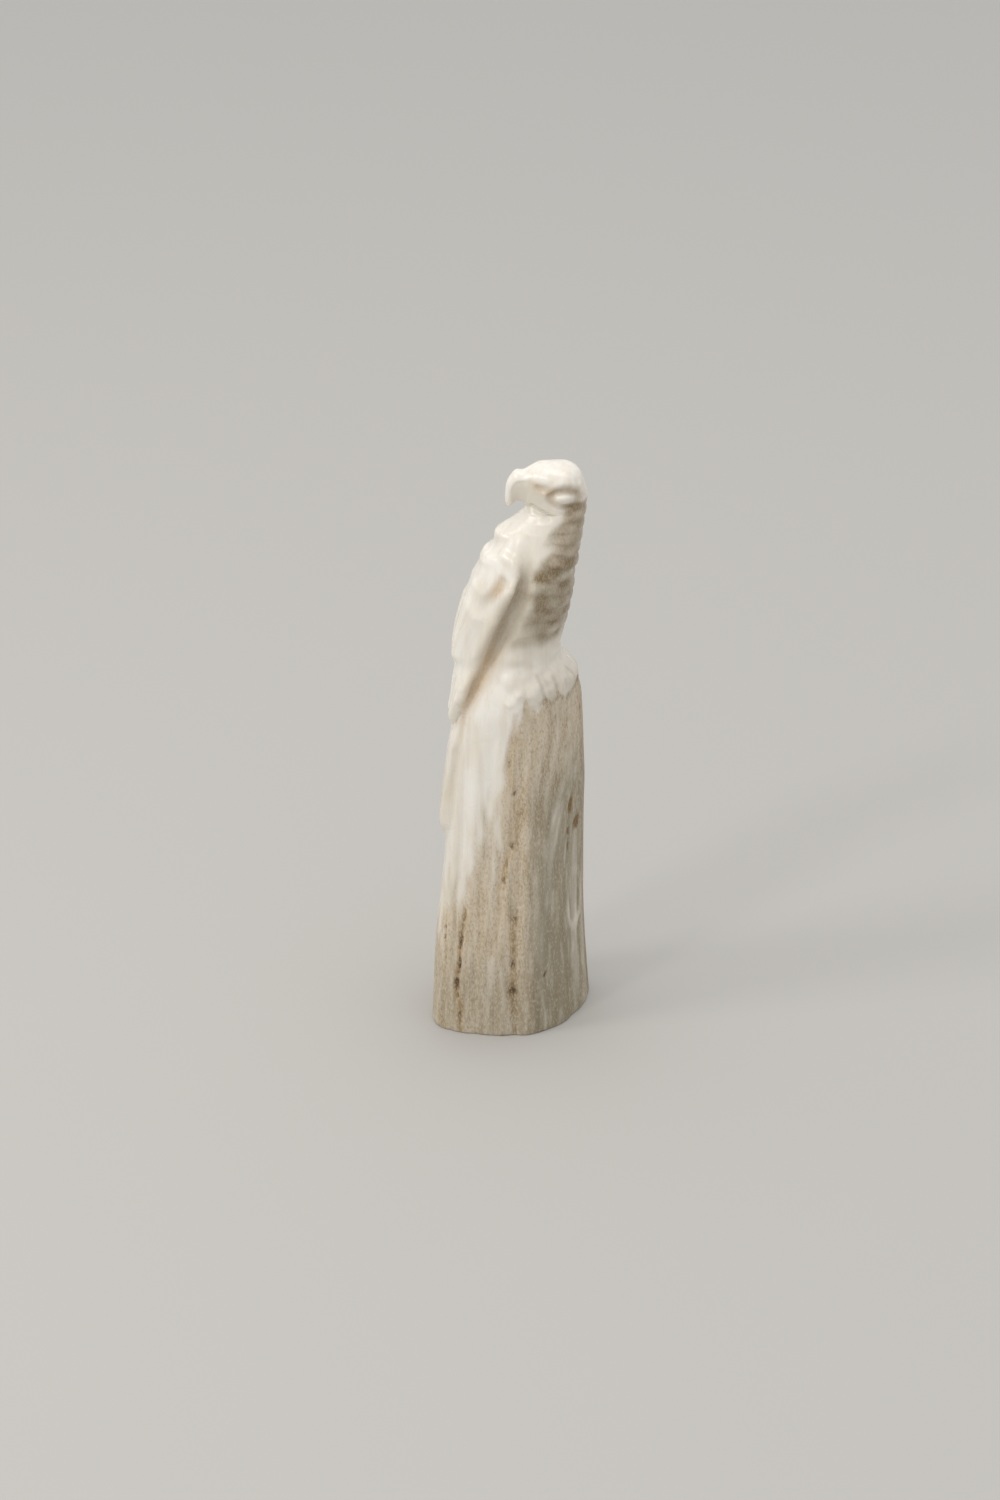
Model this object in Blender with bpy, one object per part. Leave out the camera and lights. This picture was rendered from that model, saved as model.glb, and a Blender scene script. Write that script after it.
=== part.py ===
# An eagle with folded wings, looking back over its tail, carved with the stump that it stands
# on from one length of antler.
#
# Metres, +Z up. The breast and the toes face +X, the wings and tail lie towards -X, and the
# head is turned round so that the beak points to -X. The origin is the middle of the underside.

import math

import bmesh
import bpy
from mathutils import Vector

# Overall sizes
HEIGHT = 0.1033
BASE_LENGTH = 0.0272
BASE_BREADTH = 0.0226
BASE_SKEW = 0.0044
FOOT_CHAMFER = 0.0003

# Depths of the carving
WING_THICKNESS = 0.0014
WING_ROLL = 0.0003
GROOVE_DEPTH = 0.0010
WING_HOLLOW_DEPTH = 0.0006
BACK_SPLIT_DEPTH = 0.0006
CAPE_STEP = 0.0005
COLLAR_STEP = 0.0005
FEATHER_STEP = 0.00022
LEDGE_STEP = 0.00035
TOE_CROWN = 0.0003
FURROW_DEPTH = 0.0003
BROW_STEP = 0.0005
SOCKET_DEPTH = 0.0006
EYE_BULGE = 0.0008
LORE_DEPTH = 0.0004
JAW_DEPTH = 0.0004

# The outline below is in hundredths of the height, and this turns it into metres.
SHARE = HEIGHT / 100

# The stump: height, length and breadth as shares of the base's, how far its middle stands
# towards the breast, and its skew as a share of the base's.
STUMP = (
    (0.0, 1.000, 1.00, 0.0, 1.00),
    (16.0, 0.935, 0.97, -0.2, 0.95),
    (30.0, 0.876, 0.95, 0.4, 0.90),
    (44.3, 0.850, 0.93, 0.8, 0.84),
    (56.4, 0.790, 0.90, 1.1, 0.70),
    (61.0, 0.755, 0.87, 1.1, 0.52),
)

# The figure: how far along the carving the section is cut, its end on the back (x, z), its end
# on the breast (x, z), half its breadth and its skew. Above the neck the sections fan out
# round the corner of the throat, over the crown and down to the tip of the beak.
FIGURE = (
    (64.2, -8.4, 64.2, 10.1, 64.2, 8.25, 1.3),  # top of the stump
    (65.9, -8.3, 65.9, 8.2, 65.9, 7.6, 0.65),  # top of the foot
    (68.2, -8.25, 68.2, 8.05, 68.2, 7.2, 0.3),  # waist
    (72.2, -7.9, 72.2, 8.7, 72.2, 7.2, 0.0),  # belly
    (78.4, -6.55, 78.4, 9.9, 78.4, 7.7, 0.0),  # breast
    (83.0, -4.7, 82.8, 10.2, 82.8, 7.5, 0.0),  # shoulders
    (86.6, -3.0, 86.2, 11.05, 86.6, 6.6, 0.0),  # cape
    (90.2, -1.2, 89.6, 11.5, 90.4, 5.5, 0.0),  # neck
    (93.2, 0.7, 91.2, 11.9, 93.1, 4.8, 0.0),  # nape
    (95.8, 1.85, 92.1, 12.0, 95.1, 4.65, 0.0),  # back of the head
    (98.2, 2.25, 92.5, 11.1, 98.0, 4.6, 0.0),
    (100.7, 2.3, 92.65, 9.3, 99.55, 4.5, 0.0),  # crown
    (103.0, 2.25, 92.8, 7.1, 99.9, 4.2, 0.0),
    (105.2, 2.15, 92.95, 4.6, 100.1, 3.6, 0.0),  # forehead
    (106.8, 1.95, 93.1, 3.1, 99.5, 2.8, 0.0),
    (108.2, 1.65, 93.25, 1.8, 98.8, 2.3, 0.0),  # root of the beak
    (109.4, 1.3, 93.4, 0.7, 98.85, 2.0, 0.0),
    (110.6, 0.95, 93.45, -0.1, 98.1, 1.7, 0.0),  # ridge of the beak
    (111.8, 0.6, 93.35, -0.85, 96.7, 1.35, 0.0),
    (113.0, 0.1, 92.9, -1.1, 94.7, 0.9, 0.0),  # hook
    (113.9, -0.3, 92.55, -1.05, 93.4, 0.45, 0.0),
)

# The skew gathers towards the two ends of the section.
SKEW_POWER = 2.5

# How much narrower the section is at its back end, by place.
PINCH = ((80.0, 0.0), (88.0, 0.3), (93.0, 0.45), (98.0, 0.35), (108.0, 0.45), (114.0, 0.2))

# Girth is an angle round a section, in degrees: 0 in the middle of the back, 180 in the
# middle of the breast. These give it by height for the groove in front of the wing, and the
# width of the slope that drops into the groove from the wing's front edge.
GROOVE_GIRTH = (
    (34.0, 17.0),
    (43.0, 19.0),
    (52.0, 24.0),
    (58.0, 31.0),
    (62.0, 39.0),
    (66.0, 57.0),
    (70.0, 70.0),
    (74.0, 80.0),
    (80.0, 86.0),
    (84.5, 84.0),
    (88.0, 70.0),
)
GROOVE_SLOPE = ((34.0, 5.0), (58.0, 6.0), (63.0, 9.0), (67.0, 14.0), (73.0, 18.0), (80.0, 12.0))
GROOVE_STRENGTH = ((34.0, 0.0), (40.0, 0.25), (58.0, 0.4), (64.0, 0.8), (82.0, 1.0), (88.0, 0.0))
GROOVE_REACH = 16.0

# The rolled front edge of the wing: how far behind the edge it stands highest, and its half
# width. Then the line between the two wings down the middle of the back: its half width, and
# the heights between which it fades in at its foot and out at its top. The girths are degrees.
ROLL_BACK = 2.0
ROLL_REACH = 9.0
BACK_SPLIT_REACH = 9.0
BACK_SPLIT_FOOT = (52.0, 58.0)
BACK_SPLIT_TOP = (80.0, 86.0)

# Each tier of feathers on the back: height of its tips in the middle of the back, how much
# higher they end at the side, where the tier starts, its share of the wing's thickness at the
# start and at the tips, and the height over which its tips round off.
TAIL = (34.3, 1.2, 55.0, 0.35, 1.0, 3.2)
FLIGHT_FEATHERS = (54.4, 3.0, 88.0, 0.2, 1.0, 2.0)
COVERTS = (65.4, 1.0, 87.0, 0.0, 0.6, 1.6)
TIP_ROWS = (-0.3, 0.3, 1.1, 2.2)
# How far below its tips the rows of the mesh start to follow a tier, and how far above them
# they start and end to let go of it.
TIP_LEAD = 9.0
TIP_HOLD = 2.0
TIP_RELEASE = 16.0

# Cape feathers end in steps down the back of the neck, at these places.
CAPE_EDGES = (83.3, 87.2)
CAPE_LENGTH = 3.4
CAPE_GIRTH = 75.0

# Rows of breast and neck feathers, counted from the collar that divides them. At the side of
# the breast they stand higher than in its middle.
COLLAR_PLACE = 83.0
COLLAR_RISE = 2.4
FEATHER_ROW = 2.1
BREAST_ROWS = 5
NECK_ROWS = 5
ROW_EDGE = 0.25
BREAST_ROW_GIRTH = 104.0
NECK_ROW_GIRTH = 118.0

# The hollow on the wing, and the jaw, as lines in the side view (x, z).
WING_HOLLOW = ((-1.3, 82.6), (-4.8, 77.3))
WING_HOLLOW_REACH = 1.2
JAW = ((3.2, 93.2), (9.6, 90.4))
JAW_REACH = 0.8

# Head details in the side view: middle (x, z) and half sizes.
BROW = (8.0, 98.6, 4.6, 2.0)
SOCKET = (8.4, 95.2, 3.4, 2.2)
EYE = (8.4, 95.5, 2.3, 1.2)
LORE = (4.9, 96.9, 2.0, 1.0)

# The foot of the figure ends on the stump in an edge that the tips of the toes scallop:
# girth and height of the edge at the tips, and at the gaps between them.
TOE_TIPS = ((86.5, 59.4), (107.0, 61.3), (124.0, 61.8), (142.0, 61.2))
TOE_GAPS = ((74.0, 62.6), (98.0, 62.7), (116.0, 62.7), (131.5, 62.7), (157.5, 62.0))
TOE_TOP = 65.6
LEDGE_PLACE = 62.2
LEDGE_TOP = 67.2
LEDGE_FOOT = 50.0
# The edge of the foot rounds over from a little below the ledge to a little above it.
LEDGE_ROUND = (-0.6, 1.4)

# Furrows of the antler, which the carver left on the stump: girth at the base, how far it
# leans towards the breast by the top, half width, share of the depth.
NEAR_FURROWS = (
    (38.0, 4.0, 9.0, 0.9),
    (62.0, 5.0, 8.0, 0.7),
    (92.0, 3.0, 9.0, 1.2),
    (118.0, 10.0, 9.0, 0.8),
    (144.0, 8.0, 9.0, 1.0),
)
FAR_FURROWS = (
    (44.0, -3.0, 9.0, 0.8),
    (74.0, 4.0, 10.0, 1.1),
    (102.0, 6.0, 8.0, 0.6),
    (130.0, 4.0, 10.0, 1.0),
    (157.0, 0.0, 8.0, 0.8),
)
FURROW_TOP = 62.0
FURROW_FADE = 10.0

# Mesh: columns on one side, the columns that follow the wing's edge, the groove and the toes,
# and the places of the rows.
COLUMNS = 29
EDGE_COLUMN = 6
GROOVE_COLUMN = 9
TOES_COLUMN = 11
STUMP_ROWS = (0.0, 0.4, 1.6, 6.0, 11.0, 16.0, 21.0, 26.0, 30.8)
TAIL_ROWS = (38.4, 41.6, 44.8, 48.0, 51.2)
LEDGE_ROWS = (58.0, 59.8, 61.2, 61.9, 62.5, 63.4, 64.4, 65.4, 66.4, 67.6, 69.0, 70.6)
HEAD_ROWS = ((94.5, 106.0, 0.77), (106.0, 113.9, 0.66))
# How far the tip of the beak stands past its last row, as a share of the last step.
TIP_STEP = 0.6

ANTLER_COLOUR = (0.72, 0.66, 0.54, 1.0)
ANTLER_ROUGHNESS = 0.42


def smooth(keys, at):
    """Reads a smooth curve through (place, value) keys, level beyond its ends."""
    if at <= keys[0][0]:
        return keys[0][1]
    if at >= keys[-1][0]:
        return keys[-1][1]
    last = len(keys) - 1
    i = max(k for k in range(last) if keys[k][0] <= at)

    def slope(k):
        before, after = keys[max(k - 1, 0)], keys[min(k + 1, last)]
        return (after[1] - before[1]) / (after[0] - before[0])

    (x0, y0), (x1, y1) = keys[i], keys[i + 1]
    width = x1 - x0
    t = (at - x0) / width
    rise = (2 * t - 3) * t * t
    return (
        y0 * (1 + rise)
        - y1 * rise
        + slope(i) * width * t * (1 - t) ** 2
        - slope(i + 1) * width * t * t * (1 - t)
    )


def straight(keys, at):
    """Reads straight lines through (place, value) keys, level beyond their ends."""
    for (x0, y0), (x1, y1) in zip(keys, keys[1:]):
        if at <= x1:
            return y0 + (y1 - y0) * max(at - x0, 0) / (x1 - x0)
    return keys[-1][1]


def ramp(low, high, at):
    """0 at low, 1 at high, and a soft slope between them."""
    t = min(max((at - low) / (high - low), 0.0), 1.0)
    return t * t * (3 - 2 * t)


def bump(offset):
    """1 at 0, falling softly to 0 at -1 and 1."""
    return (1 - offset * offset) ** 2 if abs(offset) < 1 else 0.0


def mix(a, b, share):
    return a + (b - a) * share


def sections():
    """Each section: place, back x, back z, breast x, breast z, half breadth, skew. In metres."""
    rows = []
    for height, length, breadth, middle, skew in STUMP:
        half = BASE_LENGTH * length / 2
        across = (middle * SHARE - half, middle * SHARE + half)
        z = height * SHARE
        rows.append(
            (height, across[0], z, across[1], z, BASE_BREADTH * breadth / 2, BASE_SKEW * skew)
        )
    for place, *sizes in FIGURE:
        rows.append((place, *(size * SHARE for size in sizes)))
    return rows


SECTION_CURVES = [[(row[0], row[k]) for row in sections()] for k in range(1, 7)]


def on_section(place, girth, side):
    """The uncarved surface there, and the way out of it in the section's plane."""
    back_x, back_z, breast_x, breast_z, half_breadth, skew = (
        smooth(curve, place) for curve in SECTION_CURVES
    )
    back, breast = Vector((back_x, 0, back_z)), Vector((breast_x, 0, breast_z))
    middle, reach = (back + breast) / 2, (breast - back) / 2
    along, across = -math.cos(math.radians(girth)), side * math.sin(math.radians(girth))
    half_breadth *= 1 - smooth(PINCH, place) * (1 - along) / 2
    skew *= math.copysign(abs(along) ** SKEW_POWER, along)
    point = middle + reach * along + Vector((0, half_breadth * across + skew, 0))
    out = reach.normalized() * (along / reach.length) + Vector((0, across / half_breadth, 0))
    return point, out.normalized()


def near_line(x, z, line, reach):
    """1 on the line, falling to 0 at that reach from it. All are in hundredths of the height."""
    (x0, z0), (x1, z1) = line
    dx, dz = x1 - x0, z1 - z0
    t = min(max(((x - x0) * dx + (z - z0) * dz) / (dx * dx + dz * dz), 0.0), 1.0)
    return bump(math.hypot(x - x0 - t * dx, z - z0 - t * dz) / reach)


def near_oval(x, z, oval):
    middle_x, middle_z, half_x, half_z = oval
    return bump(math.hypot((x - middle_x) / half_x, (z - middle_z) / half_z))


def wing_edge(z):
    """Girths of the wing's front edge and of the groove before it."""
    groove = smooth(GROOVE_GIRTH, z)
    return groove - straight(GROOVE_SLOPE, z), groove


def tip_rise(tier, girth):
    """How much higher a tier's feathers end there than in the middle of the back."""
    edge, groove = wing_edge(tier[0])
    return tier[1] * min(girth / edge, 1.2) ** 2


def tier_share(tier, z, girth):
    """How thick a tier is there, as a share of the wing's thickness."""
    tips, rise, start, start_share, tip_share, rounding = tier
    end = tips + tip_rise(tier, girth)
    if not end <= z < start:
        return 0.0
    return mix(tip_share, start_share, (z - tips) / (start - tips)) * ramp(end - 0.1, end + rounding, z)


def wing_relief(z, girth):
    """Feather tiers of the wings and tail, the rolled front edge and the groove before it."""
    edge, groove = wing_edge(z)
    layers = max(tier_share(TAIL, z, girth), tier_share(FLIGHT_FEATHERS, z, girth))
    layers += tier_share(COVERTS, z, girth) * (1 - ramp(edge * 0.5, edge, girth))
    on_wing = 1 - ramp(edge, groove, girth)
    strength = straight(GROOVE_STRENGTH, z)
    roll = WING_ROLL * strength * bump((girth - edge + ROLL_BACK) / ROLL_REACH)
    cut = GROOVE_DEPTH * strength * bump((girth - groove) / GROOVE_REACH)
    split = BACK_SPLIT_DEPTH * bump(girth / BACK_SPLIT_REACH)
    split *= ramp(*BACK_SPLIT_FOOT, z) * (1 - ramp(*BACK_SPLIT_TOP, z))
    return WING_THICKNESS * layers * on_wing + roll - cut - split


def cape_relief(place, girth):
    """Steps down the back of the neck."""
    height = 0.0
    for edge in CAPE_EDGES:
        above = place - edge
        if 0 <= above < CAPE_LENGTH:
            height = CAPE_STEP * (1 - above / CAPE_LENGTH)
    return height * (1 - ramp(CAPE_GIRTH * 0.5, CAPE_GIRTH, girth))


def row_relief(row, girth):
    """Rows of breast and neck feathers: each grows thicker down to its edge, then steps in."""
    rows_up = (row - COLLAR_PLACE) / FEATHER_ROW
    if not -BREAST_ROWS <= rows_up < NECK_ROWS:
        return 0.0
    start = NECK_ROW_GIRTH if rows_up >= 0 else BREAST_ROW_GIRTH
    step = COLLAR_STEP if 0 <= rows_up < 1 else FEATHER_STEP
    above_edge = rows_up - math.floor(rows_up)
    return step * (1 - above_edge) * ramp(start - 16, start, girth)


def toe_at(girth):
    """How round the toe stands there, 1 in its middle and 0 in the gaps, and its edge's height."""
    for gap, (tip_girth, tip), after in zip(TOE_GAPS, TOE_TIPS, TOE_GAPS[1:]):
        if gap[0] <= girth <= after[0]:
            side_gap = gap if girth < tip_girth else after
            away = (girth - tip_girth) / (side_gap[0] - tip_girth)
            return 1 - away * away, mix(side_gap[1], tip, math.sqrt(max(1 - away * away, 0)))
    return 0.0, TOE_GAPS[0][1] if girth < TOE_GAPS[0][0] else TOE_GAPS[-1][1]


def foot_relief(row, girth):
    """The foot stands proud of the stump, most along the middle of each toe."""
    if row > LEDGE_TOP:
        return 0.0
    start = TOE_GAPS[0][0]
    below, above = (LEDGE_PLACE + step for step in LEDGE_ROUND)
    stand = LEDGE_STEP * (1 - ramp(above, LEDGE_TOP, row))
    stand += TOE_CROWN * toe_at(girth)[0] * (1 - ramp(above, TOE_TOP, row))
    return stand * ramp(below, above, row) * ramp(start - 3, start + 4, girth)


def furrow_relief(z, girth, side):
    """The antler's furrows, which the carver left on the stump."""
    depth = 0.0
    for base_girth, lean, half_width, share in NEAR_FURROWS if side < 0 else FAR_FURROWS:
        middle = base_girth + lean * z / FURROW_TOP
        depth = max(depth, share * bump((girth - middle) / half_width))
    return -FURROW_DEPTH * depth * (1 - ramp(FURROW_TOP - FURROW_FADE, FURROW_TOP, z))


def head_relief(x, z):
    """Brow, eye socket, eye, the hollow before the eye, and the jaw."""
    return (
        BROW_STEP * near_oval(x, z, BROW)
        - SOCKET_DEPTH * near_oval(x, z, SOCKET)
        + EYE_BULGE * near_oval(x, z, EYE)
        - LORE_DEPTH * near_oval(x, z, LORE)
        - JAW_DEPTH * near_line(x, z, JAW, JAW_REACH)
    )


def swept_place(row, girth):
    """Where a row of the mesh runs: along the tips of toes and feathers."""
    near_ledge = ramp(LEDGE_FOOT, LEDGE_PLACE, row) * (1 - ramp(LEDGE_PLACE + 0.3, LEDGE_TOP, row))
    past_collar = row - COLLAR_PLACE
    near_collar = 1 - ramp(0, 9 if past_collar > 0 else 11, abs(past_collar))
    from_middle = max(180 - girth, 0) / 80
    scallop = (toe_at(girth)[1] - LEDGE_PLACE) * near_ledge * ramp(40, TOE_GAPS[0][0], girth)
    rise = COLLAR_RISE * min(from_middle, 1) ** 2 * near_collar * ramp(80, 100, girth)
    for tier in (TAIL, FLIGHT_FEATHERS, COVERTS):
        edge, groove = wing_edge(tier[0])
        tips = tier[0]
        near_tips = ramp(tips - TIP_LEAD, tips, row)
        near_tips *= 1 - ramp(tips + TIP_HOLD, tips + TIP_RELEASE, row)
        rise += tip_rise(tier, girth) * near_tips * (1 - ramp(edge, groove + 8, girth))
    return row + scallop + rise


def carved_point(row, girth, side):
    place = swept_place(row, girth)
    point, out = on_section(place, girth, side)
    x, z = point.x / SHARE, point.z / SHARE
    relief = row_relief(row, girth) + cape_relief(place, girth)
    if place < 92:
        relief += wing_relief(z, girth) + foot_relief(row, girth) + furrow_relief(z, girth, side)
        relief -= WING_HOLLOW_DEPTH * near_line(x, z, WING_HOLLOW, WING_HOLLOW_REACH)
    else:
        relief += head_relief(x, z)
    relief -= FOOT_CHAMFER * (1 - ramp(0, 0.4, row))
    return point + out * relief


def row_places():
    """Rows of the mesh, with pairs of rows at the edges of feathers and toes."""
    places = [*STUMP_ROWS, *TAIL_ROWS, *LEDGE_ROWS]
    for tips, *_ in (TAIL, FLIGHT_FEATHERS):
        places += [tips + step for step in TIP_ROWS]
    for k in range(-BREAST_ROWS, NECK_ROWS + 1):
        edge = COLLAR_PLACE + k * FEATHER_ROW
        places += [edge - ROW_EDGE, edge + ROW_EDGE]
    for start, end, step in HEAD_ROWS:
        count = round((end - start) / step)
        places += [mix(start, end, k / count) for k in range(count)]
    return sorted(places) + [HEAD_ROWS[-1][1]]


def column_girths(row):
    """Girths of the columns, drawn to the wing's edge, the groove and the toes beside them."""
    even = 180 / COLUMNS
    follow_wing = ramp(48, 60, row) * (1 - ramp(84, 92, row))
    follow_toes = ramp(46, 60, row) * (1 - ramp(66, 74, row))
    edge, groove = wing_edge(row)
    groove = mix(even * GROOVE_COLUMN, groove, follow_wing)
    edge = mix(even * EDGE_COLUMN, edge, follow_wing)
    wing = ((0, 0.0), (EDGE_COLUMN, edge), (GROOVE_COLUMN, groove), (COLUMNS, 180.0))
    toes = [(GROOVE_COLUMN, groove)]
    toes += [(TOES_COLUMN + 4 * k, girth) for k, (girth, height) in enumerate(TOE_GAPS)]
    toes += [(TOES_COLUMN + 2 + 4 * k, girth) for k, (girth, height) in enumerate(TOE_TIPS)]
    toes += [(COLUMNS, 180.0)]
    girths = []
    for column in range(COLUMNS + 1):
        girth = straight(wing, column)
        if column > GROOVE_COLUMN:
            girth = mix(girth, straight(sorted(toes), column), follow_toes)
        girths.append(girth)
    return girths


def carving_mesh():
    """Lofts the rows, closes the underside flat and brings the beak to its tip."""
    bm = bmesh.new()
    rows = []
    for row in row_places():
        girths = column_girths(row)
        near = [carved_point(row, girth, -1) for girth in girths]
        far = [carved_point(row, girth, 1) for girth in girths[-2:0:-1]]
        rows.append([bm.verts.new(point) for point in near + far])
    for lower, upper in zip(rows, rows[1:]):
        for k in range(len(lower)):
            after = (k + 1) % len(lower)
            bm.faces.new((lower[k], lower[after], upper[after], upper[k]))
    for vert in rows[0]:
        vert.co.z = 0.0
    bm.faces.new(reversed(rows[0]))
    before, last = (sum((vert.co for vert in row), Vector()) / len(row) for row in rows[-2:])
    tip = bm.verts.new(last + (last - before) * TIP_STEP)
    for k in range(len(rows[-1])):
        bm.faces.new((rows[-1][k], rows[-1][(k + 1) % len(rows[-1])], tip))
    mesh = bpy.data.meshes.new("eagle_carving")
    bm.to_mesh(mesh)
    bm.free()
    return mesh


def centre_on_underside(mesh):
    """Moves the mesh so that the middle of its length and breadth is over the origin."""
    xs = [vert.co.x for vert in mesh.vertices]
    ys = [vert.co.y for vert in mesh.vertices]
    middle = Vector(((min(xs) + max(xs)) / 2, (min(ys) + max(ys)) / 2, 0))
    for vert in mesh.vertices:
        vert.co -= middle


def antler():
    material = bpy.data.materials.new("antler")
    material.use_nodes = True
    shader = material.node_tree.nodes["Principled BSDF"]
    shader.inputs["Base Color"].default_value = ANTLER_COLOUR
    shader.inputs["Roughness"].default_value = ANTLER_ROUGHNESS
    shader.inputs["Metallic"].default_value = 0.0
    return material


def main():
    for obj in list(bpy.data.objects):
        bpy.data.objects.remove(obj)
    figure = bpy.data.collections.new("eagle_figure")
    bpy.context.scene.collection.children.link(figure)
    mesh = carving_mesh()
    centre_on_underside(mesh)
    mesh.shade_smooth()
    mesh.materials.append(antler())
    figure.objects.link(bpy.data.objects.new("eagle_carving", mesh))


main()
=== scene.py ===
import math

import bmesh
import bpy
import numpy as np
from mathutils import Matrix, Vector, noise


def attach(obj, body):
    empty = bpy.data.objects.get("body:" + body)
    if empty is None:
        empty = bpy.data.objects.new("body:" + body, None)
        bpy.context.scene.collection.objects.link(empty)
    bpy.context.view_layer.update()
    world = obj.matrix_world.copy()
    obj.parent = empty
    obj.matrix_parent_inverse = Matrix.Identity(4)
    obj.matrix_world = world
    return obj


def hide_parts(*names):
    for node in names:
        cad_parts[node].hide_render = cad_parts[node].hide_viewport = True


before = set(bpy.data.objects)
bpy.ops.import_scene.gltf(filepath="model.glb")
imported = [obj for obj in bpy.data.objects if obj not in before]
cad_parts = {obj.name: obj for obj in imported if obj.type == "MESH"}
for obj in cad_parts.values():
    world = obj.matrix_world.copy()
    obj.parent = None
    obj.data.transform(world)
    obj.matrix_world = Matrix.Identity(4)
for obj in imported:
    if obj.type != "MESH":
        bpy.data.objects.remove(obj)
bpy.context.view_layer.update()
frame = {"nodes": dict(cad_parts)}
print("frame loaded:", ", ".join(frame["nodes"]))

mm = 0.001
near, far = -1, 1               # the two sides of the figure, by the sign of y
onFloor = 0.01                  # mm above the floor under which a point is on the underside

# The eye level of someone looking down at a shelf from 0.8 m
cameraSet = {"aim": (-1.95, 0.0, 49.9), "distance": 800.0, "elevation": 28.0, "lens": 113.28,
             "sensor": 36, "clipStart": 0.01}

# Sections of the solid: height, middle, half length, half breadth and skew, in mm. They give
# every point a girth, in degrees from the middle of the back to the middle of the breast.
sections = (
    (0.0, 0.0, 13.6, 11.3, 4.4), (16.5, -0.2, 12.72, 10.96, 4.18), (31.0, 0.41, 11.91, 10.74, 3.96),
    (45.8, 0.83, 11.56, 10.51, 3.7), (58.3, 1.14, 10.74, 10.17, 3.08), (63.0, 1.14, 10.27, 9.83, 2.29),
    (67.0, 0.46, 9.14, 8.47, 1.24), (70.5, -0.18, 8.34, 7.44, 0.31), (74.6, 0.41, 8.57, 7.44, 0.0),
    (81.0, 1.73, 8.5, 7.95, 0.0), (85.7, 2.84, 7.7, 7.75, 0.0), (89.3, 4.08, 7.18, 6.82, 0.0),
    (93.0, 5.16, 6.4, 5.68, 0.0), (96.0, 6.46, 5.63, 4.96, 0.0))

# How the copy of the solid is made fine enough to carve. Lengths are mm, angles degrees.
meshSet = {"merge": 0.001, "joinAngle": 60, "joinShape": 70, "tallEdge": 4.0, "cuts": 2,
           "undersideRings": (1.2, 1.6, 1.8, 1.8, 1.8), "levels": 2, "passes": 3}

# Steps of the solid that the carver sanded soft. Here, and for the head, feathers, wing and
# waist below, lines and places are (x, z) in the side view, in mm.
softSet = {
    "lines": (              # line, reach, how soft
        (((-2.4, 89.3), (-1.0, 89.1), (0.9, 89.4)), 2.2, 1.0),
        (((1.7, 91.0), (1.7, 86.5)), 1.6, 0.8),
        (((-4.2, 85.6), (-2.0, 86.2), (-0.5, 86.6)), 2.4, 1.0),
        (((-5.0, 83.6), (-3.6, 84.0), (-2.4, 84.8)), 2.2, 0.9),
        (((-7.0, 80.8), (-5.2, 79.6), (-3.2, 79.7), (-2.0, 80.6)), 2.2, 1.0),
        (((-8.0, 67.8), (-5.6, 68.8)), 2.4, 1.0),
        (((-9.2, 56.4), (-8.0, 57.4)), 1.2, 0.7),
        (((-2.0, 63.6), (0.5, 61.8), (2.5, 62.8), (4.5, 63.8), (8.5, 63.4), (10.5, 62.8)), 3.2, 0.9),
        (((3.0, 66.0), (6.5, 66.2), (10.5, 65.8)), 1.8, 0.6)),
    "passes": 80, "step": 0.5,      # how often, and how far, a point moves to its neighbours' middle
}
# Ovals are middle (x, z), half length and half height. Cuts and rises are mm of depth, and the
# stains and painted shade after them are shares of a paint layer.
headSet = {
    "eye": (8.65, 98.35, 1.8, 1.05), "eyeTilt": -3.0,
    "eyeDome": 0.24, "eyeRing": 0.20, "ringWidth": 0.95, "ringShade": 0.20, "ringAmber": 0.18,
    "brow": ((6.3, 99.3), (7.3, 99.95), (8.5, 100.3), (9.6, 100.1), (10.7, 99.5)),
    "browCut": 0.18, "browReach": 1.0, "browRise": 0.10, "browShadow": 0.24, "browAmber": 0.12,
    "planeTop": ((-1.5, 100.5), (0.2, 101.0), (3.0, 101.1), (4.2, 100.9), (4.9, 100.3), (6.2, 99.3)),
    "planeStep": 0.14, "planeFade": (5.6, 7.6), "planeShade": 0.8,
    "beakRim": ((3.2, 102.8), (1.8, 102.0), (0.7, 101.8), (-0.3, 101.2), (-1.05, 99.8),
                (-1.35, 97.9), (-1.25, 96.4)),
    "rimWidth": 1.35,
    "nostril": ((4.0, 100.3), (5.8, 99.7)), "nostrilCut": 0.05, "nostrilReach": 0.6,
    "nostrilStain": 1.7, "nostrilAmber": 0.34,
    "underEye": (9.5, 96.5, 3.2, 1.3), "underEyeCut": 0.20, "underEyeShade": 0.20,
    "jaw": ((2.2, 95.6), (3.6, 95.9), (5.0, 95.6), (6.6, 94.9)),
    "jawCut": 0.05, "jawReach": 0.9, "jawShade": 0.12,
    "behindEye": (10.9, 98.3, 2.0, 2.2), "behindEyeShade": 0.25,
}
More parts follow.
